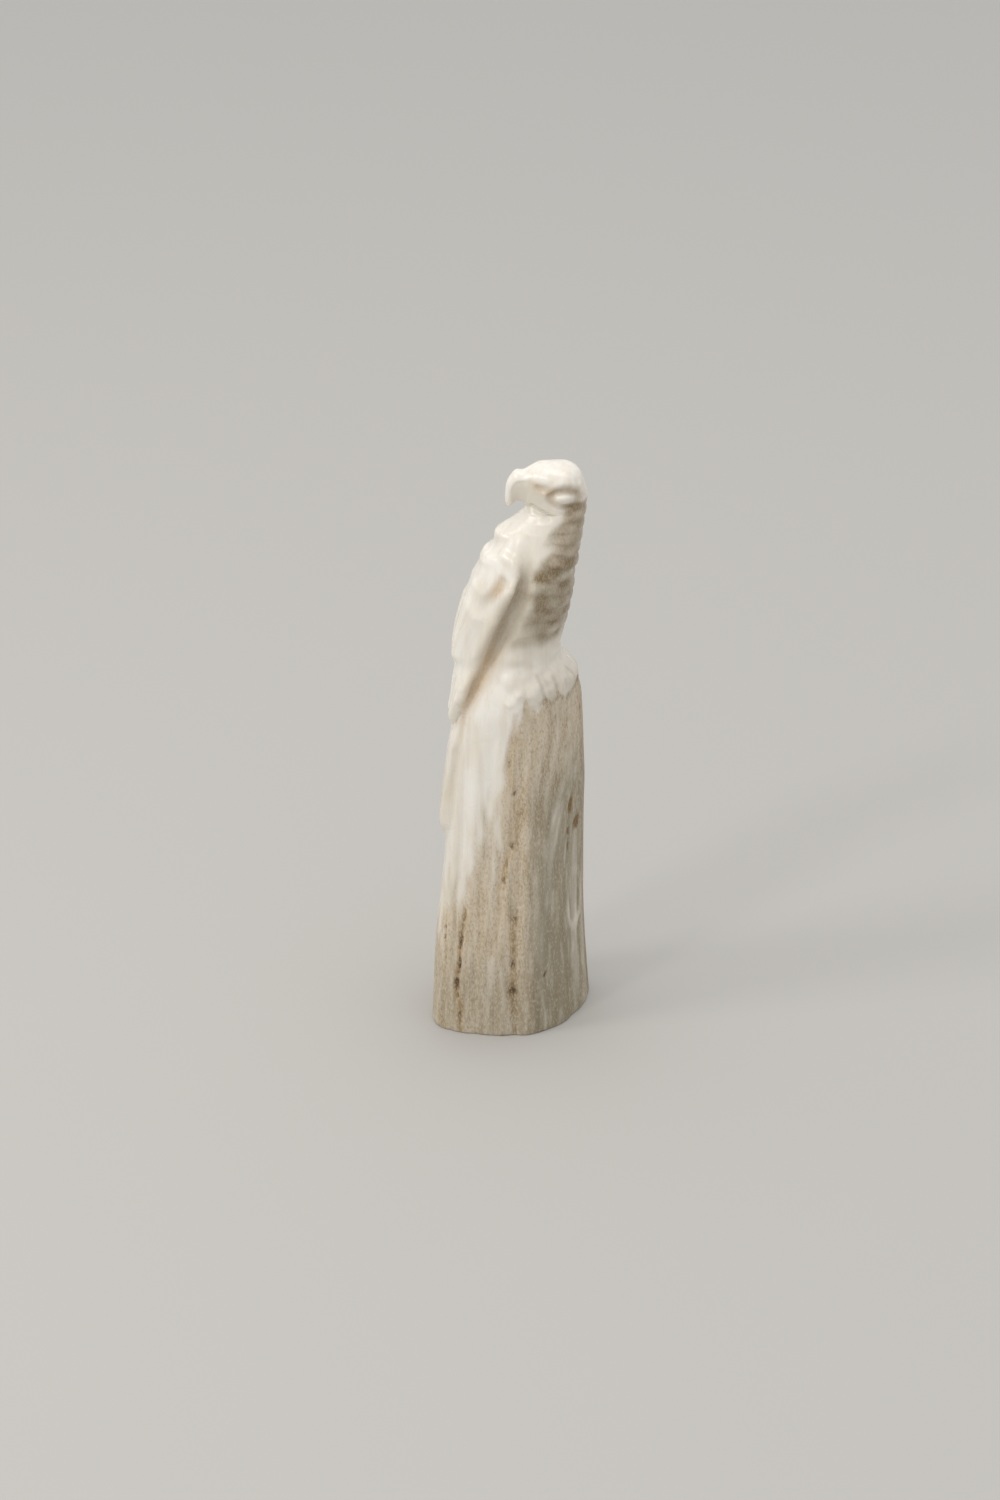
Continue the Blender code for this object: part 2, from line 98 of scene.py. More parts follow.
# Rows of feathers by their place along the figure, in hundredths of its height
featherSet = {
    "edges": (72.5, 74.6, 76.7, 78.8, 80.9, 83.0, 85.1, 87.2, 89.3, 91.4, 93.5),
    "unit": 1.033,                          # mm of height in one of these hundredths
    "collar": 83.0, "rise": 2.4, "cut": 0.12, "reach": 0.95, "dirtAndShade": 0.18,
    "tilt": ((83, 0), (86.6, 0.4), (90.2, 0.8), (93.2, 1.85), (94.5, 2.5)),    # drop at the back
    "scallop": 0.22, "feather": 13.0,       # drop and width in degrees of one feather's tip
    "start": (92.0, 106.0), "collarStart": (90.0, 98.0),      # girths
    "breastEdge": ((2.6, 87.0), (2.6, 84.0), (1.9, 80.0), (1.2, 77.0), (0.4, 74.0)),
    "neckEdge": ((8.0, 97.2), (7.25, 95.4), (6.6, 93.3), (5.45, 90.5), (4.3, 88.0), (3.6, 86.6)),
    "underCollar": ((3.9, 86.2), (5.3, 86.2), (6.6, 86.1), (8.2, 86.0), (9.8, 86.4)),
    "collarRidge": ((3.6, 83.9), (6.3, 84.5), (7.9, 84.7), (9.6, 85.4), (10.7, 86.2)),
    "underCollarCut": 0.15, "underCollarReach": 1.3, "underCollarShadow": 0.22,
    "collarRise": 0.12, "collarReach": 1.0, "lump": 0.05,
    "neckDirt": 0.58, "breastDirt": 0.52, "mottle": 0.24, "neckAmber": 0.22, "napeDarker": 0.04,
    "bellyShade": 0.8, "bellyShadow": 0.16, "neckShade": 0.5, "flankShade": 0.44, "tailShade": 0.5,
}
wingSet = {
    "crest": ((-1.2, 88.4), (-0.2, 88.0), (0.5, 86.9), (0.7, 85.7), (0.0, 83.3), (-1.1, 81.3),
              (-2.45, 78.8), (-3.6, 76.0), (-4.3, 73.1), (-4.95, 70.2), (-5.9, 68.2), (-7.3, 66.0),
              (-8.1, 63.6), (-9.2, 58.6)),
    "crestRise": 0.26, "crestReach": 1.3, "crestShade": 0.45, "crestShadeReach": 1.6,
    "groove": ((1.5, 87.2), (1.5, 85.0), (1.15, 83.2), (0.3, 81.4), (-0.95, 78.4), (-2.15, 74.8),
               (-3.0, 72.5), (-3.7, 70.4), (-4.8, 67.8), (-6.2, 65.0), (-7.5, 62.0), (-8.3, 59.3),
               (-8.9, 54.2), (-9.9, 49.0), (-10.6, 44.1)),
    "grooveCut": 0.34, "grooveReach": 1.5,
    "wideShadeAndStain": (3.0, 0.36), "narrowShadeAndStain": (1.0, 0.24),       # reach, share
    "hollow": ((-1.6, 84.8), (-2.7, 83.0), (-4.2, 80.6), (-6.2, 76.6)),
    "hollowCut": 0.34, "hollowReach": 1.2, "hollowAmber": 0.60, "hollowShade": 0.20,
    "edgeGirth": ((35.0, 12.0), (44.4, 14.0), (53.7, 18.5), (59.9, 25.0), (64.0, 30.0), (68.2, 43.0),
                  (72.3, 53.5), (76.4, 64.0), (82.6, 73.0), (88.0, 66.0)),
    "degree": 0.135,                                        # mm round the wing for one degree
    "splits": ((0.22, 0.10), (0.45, 0.08), (0.68, 0.05)),   # share of the wing's girth, depth
    "splitReach": 0.4, "splitShade": 0.8,
    "tips": ((56.2, 3.1, 0.08), (35.4, 1.2, 0.08)),         # height, rise at the side, lip
    "tipReach": 1.4,
}
# The cape ends in two stepped edges on the back of the neck.
capeSet = {
    "profile": (                            # z, how far the surface stands out
        (80.0, 0.0), (83.5, 0.08), (85.3, 0.14), (86.3, 0.40), (87.3, 0.24), (88.2, -0.12),
        (89.2, -0.30), (89.9, -0.20), (90.5, 0.10), (91.0, 0.36), (92.0, 0.05), (92.9, -0.20),
        (93.8, -0.28), (95.0, 0.0)),
    "rise": 1.0, "fade": (14.0, 44.0),      # how much higher the edges are at the side, girths
}
# The crease at the waist, and lumps on the foot: middle, half length, half height, rise
waistSet = {
    "line": ((0.6, 73.3), (2.4, 73.7), (4.5, 73.2), (6.6, 72.4), (8.4, 70.9)),
    "cut": 0.14, "reach": 1.4, "dirtAndShade": 0.10,
    "lobes": ((0.3, 70.6, 2.2, 1.7, 0.30), (-0.1, 67.5, 2.6, 1.3, 0.46), (0.9, 65.2, 0.9, 0.8, 0.22),
              (-0.6, 63.4, 0.8, 0.8, 0.20), (2.7, 64.6, 1.2, 0.9, 0.16), (4.7, 66.0, 0.9, 1.2, 0.18),
              (6.6, 65.4, 1.1, 0.9, 0.16), (8.6, 66.0, 0.9, 1.3, 0.16)),
}
# The toes, by girth and height
toeSet = {
    "arc": 0.85,            # girth of the foot as a share of the stump's
    "cuts": (               # girth, lowest and highest point, depth
        (98.0, 64.6, 66.0, 0.08), (116.0, 64.6, 67.6, 0.11), (122.5, 64.9, 66.6, 0.05),
        (131.5, 64.2, 66.8, 0.11), (143.0, 64.4, 65.6, 0.05), (157.5, 63.8, 66.8, 0.11)),
    "reach": 0.6, "cutShare": 0.5, "cutShade": 1.8,
    "lump": (86.0, 66.6, 2.2, 1.2, 0.22),       # girth, height, half width, half height, rise
    "facet": 0.24,
    "edge": (               # the line that the tips make on the stump
        (70, 64.6), (74, 64.3), (80, 61.9), (86.5, 61.2), (93, 61.9), (98, 64.4), (102, 63.3),
        (107, 62.9), (112, 63.4), (116, 64.4), (120, 63.6), (124, 63.4), (128, 63.6), (131.5, 64.4),
        (136, 63.2), (142, 62.8), (150, 63.2), (157.5, 63.9), (180, 63.6)),
    "edgeShade": 0.22, "gapShade": 0.45, "gapGirth": 143,
}
# The stump's natural bark. Lines are (girth, z), with half width and depth in mm, and the dirt
# and amber that lie in them. Pits and spots are girth, z, half width and half height.
barkSet = {
    "degree": 0.205,            # mm along the stump's face for one degree of girth
    # down to where the polish runs, by girth, and how softly it fades into the bark
    "polishEdge": ((0, 22), (20, 24), (50, 30), (66, 38), (78, 47.5), (84, 57), (92, 67), (100, 73),
                   (180, 80)),
    "polishFade": (13.0, -12.0),
    "nearGrooves": (            # line, half width, depth, dirt, amber
        (((86, 62), (83.5, 56), (82.5, 51.6), (88.5, 47), (93, 42.7), (90.5, 40), (87.8, 36.9),
          (81.5, 32.6), (78.5, 28), (77, 23), (76, 16)), 1.5, 0.22, 0.10, 0.28),
        (((92, 25), (92.4, 18), (91.8, 9), (93, 0)), 1.0, 0.18, 0.30, 0.12),
        (((64.6, 44.0), (64.6, 39.9), (63.8, 30.3), (68.5, 14.8), (68, 0)), 0.9, 0.12, 0.16, 0.06),
        (((49.5, 24), (48, 21.2), (48.5, 17.6), (46.8, 13.8), (43.8, 9.2), (48.6, 5), (49, 0)),
         0.9, 0.26, 0.32, 0.30),
        (((28, 24), (26, 21.8), (29.4, 14.2), (30, 0)), 0.6, 0.14, 0.24, 0.10),
        (((126, 60), (119, 54), (112, 47), (107, 38)), 1.1, 0.14, 0.22, 0.0),
        (((140, 60), (131, 52), (125, 46), (118, 38)), 0.9, 0.14, 0.20, 0.0),
        (((106, 34), (106, 26), (108, 14), (110.8, 6), (111, 0)), 1.0, 0.12, 0.18, 0.0),
        (((152, 56), (148.8, 44), (140, 39), (137, 28), (135, 15), (139.4, 8), (140, 0)),
         0.9, 0.16, 0.22, 0.0),
        (((166, 58), (160, 44), (158.7, 36), (158, 24), (156, 12), (157, 0)), 0.9, 0.14, 0.16, 0.0)),
    "farGrooves": (
        (((96, 58), (90, 46), (95, 30), (92, 14), (94, 0)), 1.4, 0.24, 0.30, 0.15),
        (((60, 46), (62, 34), (58, 20), (62, 0)), 0.9, 0.16, 0.20, 0.08),
        (((34, 30), (38, 18), (36, 0)), 0.8, 0.16, 0.22, 0.10),
        (((122, 60), (116, 44), (119, 24), (117, 0)), 1.0, 0.18, 0.20, 0.0),
        (((146, 60), (142, 42), (146, 20), (144, 0)), 0.9, 0.16, 0.20, 0.0),
        (((166, 52), (170, 30), (167, 0)), 0.8, 0.14, 0.16, 0.0)),
    "ridges": (                 # line, half width
        (((134, 60), (124, 52), (114, 44)), 0.9), (((140, 53), (128, 44), (116, 36)), 0.8),
        (((118, 62), (110, 54), (104, 46)), 0.8), (((72, 42), (75, 26), (76, 8)), 0.8)),
    "ridgeRise": 0.16, "ridgePale": 0.4,
    "chains": (                 # line, half width
        (((49.5, 23.2), (48, 21.2), (48.5, 17.6), (46.8, 13.8), (43.8, 9.2), (48.6, 5), (48.8, 2)),
         0.60),
        (((86, 35), (81.5, 32.6), (79.5, 29)), 0.30), (((92, 23.5), (92, 14), (91.8, 8)), 0.36)),
    # how deep and how dark beside a single pit, how amber, and how many times wider the amber is
    "chainCut": 0.7, "chainPit": 0.65, "chainAmber": 0.32, "chainStain": 2.2,
    "nearPits": (
        (83, 52.6, 0.4, 0.6), (88.6, 47.0, 0.9, 0.8), (93.1, 42.6, 0.6, 0.6), (87.8, 36.9, 0.6, 1.3),
        (81.5, 30.4, 0.4, 0.8), (92, 22.8, 0.7, 1.0), (91.5, 13.9, 0.9, 1.4), (91.8, 8.6, 1.0, 1.0),
        (48.5, 18.2, 0.6, 2.4), (47, 13.4, 0.6, 1.8), (44.5, 9.4, 1.0, 1.7), (48.8, 3.4, 0.8, 1.6),
        (26, 19.8, 0.6, 0.9), (27, 18.0, 0.4, 0.7), (110.8, 8.2, 0.5, 0.7), (118, 11.0, 0.5, 0.6)),
    "farPits": (
        (93, 40, 0.5, 1.0), (94, 26, 0.6, 1.2), (92, 15, 0.6, 1.4), (60, 24, 0.5, 1.6),
        (118, 30, 0.5, 1.4), (144, 22, 0.6, 1.2), (36, 14, 0.5, 1.2)),
    "pitCut": 0.30,
    "rust": ((145.2, 41.6, 1.2, 2.2), (140.7, 36.9, 0.4, 1.2), (141.2, 34.0, 0.35, 1.3),
             (155, 37.2, 1.2, 1.6)),
    "rustCut": 0.8, "rustStain": 2.4,
    "lens": (152.0, 22.6, 10.0, 5.2), "lensRise": 0.20, "lensPale": 0.9,    # a pale oval ridge
    "broad": 0.15, "grain": 0.035,          # depth of the broad and the fine unevenness
}


def ramp(low, high, value):
    share = np.clip((value - low) / (high - low), 0, 1)     # 0 at low, 1 at high
    return share * share * (3 - 2 * share)


def bump(value):
    return np.clip(1 - value * value, 0, 1) ** 2            # 1 at 0, 0 from -1 and 1 outwards


def lip(above, reach):
    return (2 * ramp(-0.15, 0.15, above) - 1) * bump(above / reach)     # proud above, cut in below


def ovalOffset(a, b, oval):
    middleA, middleB, halfA, halfB = oval
    return np.hypot((a - middleA) / halfA, (b - middleB) / halfB)       # 1 on the oval's rim


def lineDistance(a, b, line):
    away = np.full(a.shape, 1e9)
    along = np.zeros(a.shape)
    steps = len(line) - 1
    for k, ((a0, b0), (a1, b1)) in enumerate(zip(line, line[1:])):
        da, db = a1 - a0, b1 - b0
        share = np.clip(((a - a0) * da + (b - b0) * db) / (da * da + db * db), 0, 1)
        distance = np.hypot(a - a0 - share * da, b - b0 - share * db)
        along = np.where(distance < away, (k + share) / steps, along)
        away = np.minimum(away, distance)
    return away, along


def column(table, index):
    return [row[index] for row in table]


def tableAt(at, table):
    return np.interp(at, column(table, 0), column(table, 1))


def girthOf(x, y, z):
    heights = column(sections, 0)
    middle, half, breadth, skew = (np.interp(z, heights, column(sections, k)) for k in range(1, 5))
    along = np.clip((x - middle) / half, -1, 1)
    across = y - skew * np.sign(along) * np.abs(along) ** 2.5
    return np.degrees(np.arctan2(np.abs(across) / breadth, -along)), np.where(across > 0, far, near)


def noiseAt(points, scale, seed):
    moved = points * scale + seed
    return np.array([noise.noise(Vector(point)) for point in moved.tolist()])


def pointsOf(mesh, kind="co"):
    flat = np.zeros(len(mesh.vertices) * 3)
    mesh.vertices.foreach_get(kind, flat)
    return flat.reshape(-1, 3)


def smoothed(base):
    bpy.context.view_layer.update()
    return bpy.data.meshes.new_from_object(base.evaluated_get(bpy.context.evaluated_depsgraph_get()))


def fineSolid(nodeName):
    bm = bmesh.new()
    bm.from_mesh(frame["nodes"][nodeName].data)
    bmesh.ops.scale(bm, vec=(1 / mm, 1 / mm, 1 / mm), verts=bm.verts)
    bmesh.ops.remove_doubles(bm, verts=bm.verts, dist=meshSet["merge"])
    under = [face for face in bm.faces if all(vert.co.z < onFloor for vert in face.verts)]
    bmesh.ops.delete(bm, geom=under, context="FACES_ONLY")
    bmesh.ops.join_triangles(bm, faces=bm.faces,
                             angle_face_threshold=math.radians(meshSet["joinAngle"]),
                             angle_shape_threshold=math.radians(meshSet["joinShape"]))
    tall = [edge for edge in bm.edges
            if abs(edge.verts[0].co.z - edge.verts[1].co.z) > meshSet["tallEdge"]]
    bmesh.ops.subdivide_edges(bm, edges=tall, cuts=meshSet["cuts"])
    rim = [edge for edge in bm.edges if edge.is_boundary]
    face = bmesh.ops.holes_fill(bm, edges=rim)["faces"][0]
    for ring in meshSet["undersideRings"]:       # rings on the cut face, for its rim and marrow
        bmesh.ops.inset_region(bm, faces=[face], thickness=ring, use_even_offset=False)
    bmesh.ops.recalc_face_normals(bm, faces=bm.faces)
    counts = [sum(len(face.verts) == n for face in bm.faces) for n in (3, 4)]
    print("copy of the solid:", counts[0], "triangles and", counts[1], "quads")
    mesh = bpy.data.meshes.new("carving_base")
    bm.to_mesh(mesh)
    bm.free()
    base = bpy.data.objects.new("carving_base", mesh)
    bpy.context.scene.collection.objects.link(base)
    smoothing = base.modifiers.new("smooth", "SUBSURF")
    smoothing.levels = smoothing.render_levels = meshSet["levels"]
    # the cage is pushed out until the smooth surface runs through the solid's own points
    wanted = pointsOf(mesh)
    cage = wanted.copy()
    for n in range(meshSet["passes"]):
        cage += wanted - pointsOf(smoothed(base))[:len(wanted)]
        mesh.vertices.foreach_set("co", cage.ravel())
        mesh.update()
    fine = smoothed(base)
    print("furthest from the solid's points:",
          round(float(np.abs(pointsOf(fine)[:len(wanted)] - wanted).max()), 3), "mm")
    bpy.data.objects.remove(base)
    return fine


def soften(mesh, points):
    count = len(points)
    x, y, z = points.T
    soft = np.zeros(count)
    for line, reach, amount in softSet["lines"]:
        soft = np.maximum(soft, amount * bump(lineDistance(x, z, line)[0] / reach))
    ends = np.zeros(len(mesh.edges) * 2, dtype=np.int32)
    mesh.edges.foreach_get("vertices", ends)
    a, b = ends.reshape(-1, 2).T
    around = np.bincount(a, minlength=count) + np.bincount(b, minlength=count)
    for n in range(softSet["passes"]):
        total = [np.bincount(a, points[b, k], count) + np.bincount(b, points[a, k], count)
                 for k in range(3)]
        middle = np.stack(total, 1) / around[:, None]
        points = points + (middle - points) * (softSet["step"] * soft[:, None])
    mesh.vertices.foreach_set("co", points.ravel())
    mesh.update()
    return points


def carveHead(s):
    h, x, z = headSet, s["x"], s["z"]
    onSide = ramp(1.0, 2.0, np.abs(s["y"])) * ramp(93, 94.5, z)
    onFace = ramp(0.05, 0.35, np.abs(s["outY"])) * ramp(94.5, 96.0, z)
    # eye: an almond dome in a soft ring, with painted shade in the ring, tinted amber
    middleX, middleZ, halfLength, halfHeight = h["eye"]
    c, t = math.cos(math.radians(h["eyeTilt"])), math.sin(math.radians(h["eyeTilt"]))
    u = ((x - middleX) * c + (z - middleZ) * t) / halfLength
    v = ((z - middleZ) * c - (x - middleX) * t) / halfHeight
    lid = np.hypot(u, v) ** 1.3
    ring = bump((lid - 1.5) / h["ringWidth"]) * onSide
    s["height"] += h["eyeDome"] * ramp(1.25, 0.1, lid) * onSide - h["eyeRing"] * ring
    s["dirtAndShade"] += h["ringShade"] * ring
    s["amber"] += h["ringAmber"] * ring
    # brow: the crown ends in an edge over the eye, with an amber-tinted painted shadow under it
    cut = bump(lineDistance(x, z, h["brow"])[0] / h["browReach"]) * onSide
    s["height"] -= h["browCut"] * cut
    s["dirtAndShade"] += h["browShadow"] * cut
    s["amber"] += h["browAmber"] * cut
    overBrow = z - tableAt(x, h["brow"])
    s["height"] += h["browRise"] * bump((overBrow - 1.0) / 0.8) * ramp(5.5, 7.0, x) * onSide
    # side of the beak and the cheek: a plane inside the beak's rim, with painted shade where it faces a
    # little down
    below = tableAt(x, h["planeTop"]) - z
    rim = lineDistance(x, z, h["beakRim"])[0]
    inside = ramp(h["rimWidth"] - 0.5, h["rimWidth"], rim)
    plane = ramp(-0.5, 0.7, below) * inside * (1 - ramp(*h["planeFade"], x)) * onFace
    s["height"] -= h["planeStep"] * plane * (1 - ramp(1.5, 4.5, below))
    s["shade"] += h["planeShade"] * plane * (1 - 0.3 * ramp(4.0, 6.0, below))
    nostril = lineDistance(x, z, h["nostril"])[0]
    s["height"] -= h["nostrilCut"] * bump(nostril / h["nostrilReach"]) * onFace
    s["amber"] += h["nostrilAmber"] * bump(nostril / h["nostrilStain"]) * onFace
    # hollow under the eye and the jaw, both with painted shade, and painted shade on the side of the head
    # behind the eye
    under = bump(ovalOffset(x, z, h["underEye"])) * onSide
    s["height"] -= h["underEyeCut"] * under
    s["dirtAndShade"] += h["underEyeShade"] * under
    jaw = bump(lineDistance(x, z, h["jaw"])[0] / h["jawReach"]) * onSide
    s["height"] -= h["jawCut"] * jaw
    s["dirtAndShade"] += h["jawShade"] * jaw
    middleX, middleZ, halfLength, halfHeight = h["behindEye"]
    behind = bump((x - middleX) / halfLength) * bump((z - middleZ) / halfHeight)
    s["dirtAndShade"] += h["behindEyeShade"] * behind * onSide


def carveFeathers(s):
    f, x, z, girth = featherSet, s["x"], s["z"], s["girth"]
    along = -np.cos(np.radians(girth))
    breastEdge, neckEdge = f["breastEdge"][::-1], f["neckEdge"][::-1]
    fromBreast = x - np.interp(z, column(breastEdge, 1), column(breastEdge, 0))
    fromNeck = x - np.interp(z, column(neckEdge, 1), column(neckEdge, 0))
    wander = noiseAt(s["points"], 0.45, 3.0)
    lump = noiseAt(s["points"] * np.array((0.6, 0.6, 1.0)), 0.75, 9.0)
    onBreast = ramp(-0.6, 2.8, fromBreast + 1.4 * wander) * \
        ramp(71.6, 76.5, z + 1.5 * wander) * (1 - ramp(85.5, 87.5, z))
    onNeck = ramp(-0.8, 1.4, fromNeck + 1.2 * wander) * \
        ramp(85.5, 87.5, z) * (1 - ramp(97.0, 98.0, z))
    zone = np.maximum(onBreast, onNeck)
    ribs = np.zeros(len(x))
    for k, edge in enumerate(f["edges"]):
        # near the collar the rows rise towards the side
        nearCollar = 1 - ramp(0, 9 if edge > f["collar"] else 11, abs(edge - f["collar"]))
        fromMiddle = np.clip((180 - girth) / 80, 0, 1)
        place = edge - 0.35 + f["rise"] * fromMiddle ** 2 * nearCollar * ramp(80, 100, girth)
        tip = np.abs(np.sin(math.pi * girth / f["feather"] + k * math.pi / 2))
        drop = tableAt(place, f["tilt"]) * (1 - along) / 2
        level = (place - drop) * f["unit"] + f["scallop"] * (1 - tip)
        ribs = np.maximum(ribs, bump((z - level + 0.25 * lump) / f["reach"]))
    worn = np.clip(0.7 + 1.3 * wander + 0.4 * lump, 0.1, 1.2)
    ribs = ribs * zone * ramp(*f["start"], girth) * worn
    ribs *= 1 - 0.55 * ramp(86.5, 89.0, z)
    # painted shade in the cuts between the rows of feathers
    s["height"] -= f["cut"] * ribs
    s["dirtAndShade"] += f["dirtAndShade"] * ribs
    # the neck lies over the breast: a hollow under its edge with a painted shadow, then the top of the
    # breast, made paler as a painted highlight
    onFront = ramp(*f["collarStart"], girth)
    hollow = bump(lineDistance(x, z, f["underCollar"])[0] / f["underCollarReach"]) * onFront
    s["height"] -= f["underCollarCut"] * hollow
    s["dirtAndShade"] += f["underCollarShadow"] * hollow
    ridge = bump(lineDistance(x, z, f["collarRidge"])[0] / f["collarReach"]) * onFront
    s["height"] += f["collarRise"] * ridge
    # the brown of the neck and breast, with less of it on the collar's ridge as a painted highlight
    s["dirtAndShade"] += f["neckDirt"] * onNeck + f["breastDirt"] * onBreast * (1 - 0.4 * ridge) + \
        f["mottle"] * zone * (0.7 * lump + wander)
    s["amber"] += f["neckAmber"] * ramp(0.6, 2.4, fromNeck) * onNeck
    # darker further right on the neck
    s["dirtAndShade"] += f["napeDarker"] * ramp(1.4, 3.4, fromNeck) * onNeck
    # painted shade on the belly beside the wing, and on the neck
    belly = ramp(-2.8, 0.2, fromBreast) * ramp(72, 74, z) * (1 - ramp(86.0, 89.0, z))
    s["shade"] += f["bellyShade"] * belly + \
        f["neckShade"] * ramp(-9, -3, fromNeck) * ramp(86, 90, z) * ramp(96.5, 94, z)
    s["dirtAndShade"] += f["bellyShadow"] * belly
    # painted shade: below the shoulder, and on the tail, the polish is darkened a little
    s["shade"] += f["flankShade"] * ramp(87, 80, z) * ramp(66, 73, z) * ramp(16, 34, girth)
    s["shade"] += f["tailShade"] * ramp(58, 52, z) * ramp(42, 32, girth)
    s["height"] += f["lump"] * zone * lump


def carveCape(s):
    z, girth = s["z"], s["girth"]
    level = z - capeSet["rise"] * np.minimum(girth / 60, 1) ** 2
    s["height"] += tableAt(level, capeSet["profile"]) * (1 - ramp(*capeSet["fade"], girth))


def carveWings(s):
    w, x, z, girth = wingSet, s["x"], s["z"], s["girth"]
    crest, along = lineDistance(x, z, w["crest"])
    s["height"] += w["crestRise"] * bump(crest / w["crestReach"]) * (1 - ramp(0.85, 1, along))
    # painted shade along the crest
    s["shade"] += w["crestShade"] * bump(crest / w["crestShadeReach"]) * ramp(0.2, 0.4, along)
    # the groove in front of the wing narrows downwards, and the painted shade and stain in it turn from
    # dark brown to amber
    groove, along = lineDistance(x, z, w["groove"])
    depth = ramp(0, 0.12, along) * (1 - 0.75 * ramp(0.6, 1.0, along))
    width = 1 - 0.45 * ramp(0.4, 0.9, along)
    s["height"] -= w["grooveCut"] * bump(groove / (w["grooveReach"] * width)) * depth
    (wideReach, wide), (narrowReach, narrow) = w["wideShadeAndStain"], w["narrowShadeAndStain"]
    shadeAndStain = (wide * bump(groove / (wideReach * width)) + narrow * bump(groove / (narrowReach * width))) * \
        (0.35 + 0.65 * ramp(0, 0.2, along)) * (1 - 0.8 * ramp(0.6, 0.9, along))
    low = ramp(0.30, 0.55, along)
    s["dirtAndShade"] += shadeAndStain * (0.9 - 0.65 * low)
    s["amber"] += shadeAndStain * (0.40 + 0.70 * low)
    # painted shade in the hollow of the wing, and an amber stain in its middle
    hollow, along = lineDistance(x, z, w["hollow"])
    cut = bump(hollow / w["hollowReach"]) * (1 - ramp(0.6, 1.0, along))
    s["height"] -= w["hollowCut"] * cut
    s["amber"] += w["hollowAmber"] * cut * bump((along - 0.25) / 0.45)
    s["dirtAndShade"] += w["hollowShade"] * cut * (1 - ramp(0.4, 0.9, along))
    # long feathers of the wings and tail: lines with painted shade in them that run down to their tips
    edge = tableAt(z, w["edgeGirth"])
    for share, depth in w["splits"]:
        away = (girth / edge - share) * edge * w["degree"]
        line = bump(away / w["splitReach"]) * ramp(35.5, 38, z) * (1 - ramp(74, 82, z))
        s["height"] -= depth * line
        s["dirtAndShade"] += w["splitShade"] * depth * line
    for tips, rise, depth in w["tips"]:
        above = z - tips - rise * np.minimum(girth / edge, 1.2) ** 2
        s["height"] += depth * lip(above, w["tipReach"]) * (1 - ramp(edge - 2, edge + 4, girth))


def carveFoot(s):
    t, x, z, girth = toeSet, s["x"], s["z"], s["girth"]
    # the waist crease, with painted shade in it
    waist = bump(lineDistance(x, z, waistSet["line"])[0] / waistSet["reach"]) * ramp(80, 88, girth)
    s["height"] -= waistSet["cut"] * waist
    s["dirtAndShade"] += waistSet["dirtAndShade"] * waist
    for *oval, rise in waistSet["lobes"]:
        s["height"] += rise * (bump(ovalOffset(x, z, oval)) * ramp(66, 72, girth))
    arc = barkSet["degree"] * t["arc"]
    # cuts between the toes, with painted shade in them, darker towards the right
    for at, low, high, depth in t["cuts"]:
        cut = bump(lineDistance((girth - at) * arc, z, ((0, low), (0, high)))[0] / t["reach"])
        s["height"] -= t["cutShare"] * depth * cut
        s["dirtAndShade"] += t["cutShade"] * depth * cut * ramp(90, 105, girth)
    middle, height, halfWidth, halfHeight, rise = t["lump"]
    lump = ovalOffset((girth - middle) * arc, z, (0, height, halfWidth, halfHeight))
    s["height"] += rise * bump(lump)
    onFoot = ramp(61, 63.5, z) * (1 - ramp(69, 71.5, z)) * ramp(76, 86, girth)
    s["height"] += t["facet"] * noiseAt(s["points"], 0.62, 21.0) * onFoot
    # painted shade lies along the lower edge of the toes and in the gap before the last toe
    toes = tableAt(girth, t["edge"])
    s["dirtAndShade"] += t["edgeShade"] * bump((z - toes + 0.3) / 1.0) * ramp(92, 104, girth)
    gap = np.hypot((girth - t["gapGirth"]) * arc / 0.7, (z - toes + 0.4) / 1.4)
    s["dirtAndShade"] += t["gapShade"] * bump(gap)
    # painted shade on the foot, darker towards the right where it turns from the light
    s["shade"] += (0.15 + 0.5 * ramp(84, 100, girth)) * onFoot * ramp(70, 67, z)
    s["dirtAndShade"] += 0.16 * ramp(88, 125, girth) * onFoot * ramp(69, 66, z)
    s["aboveToes"] = z - toes + 1.2 * noiseAt(s["points"], 0.7, 23.0)


def onStump(line):
    return [(girth * barkSet["degree"], z) for girth, z in line]


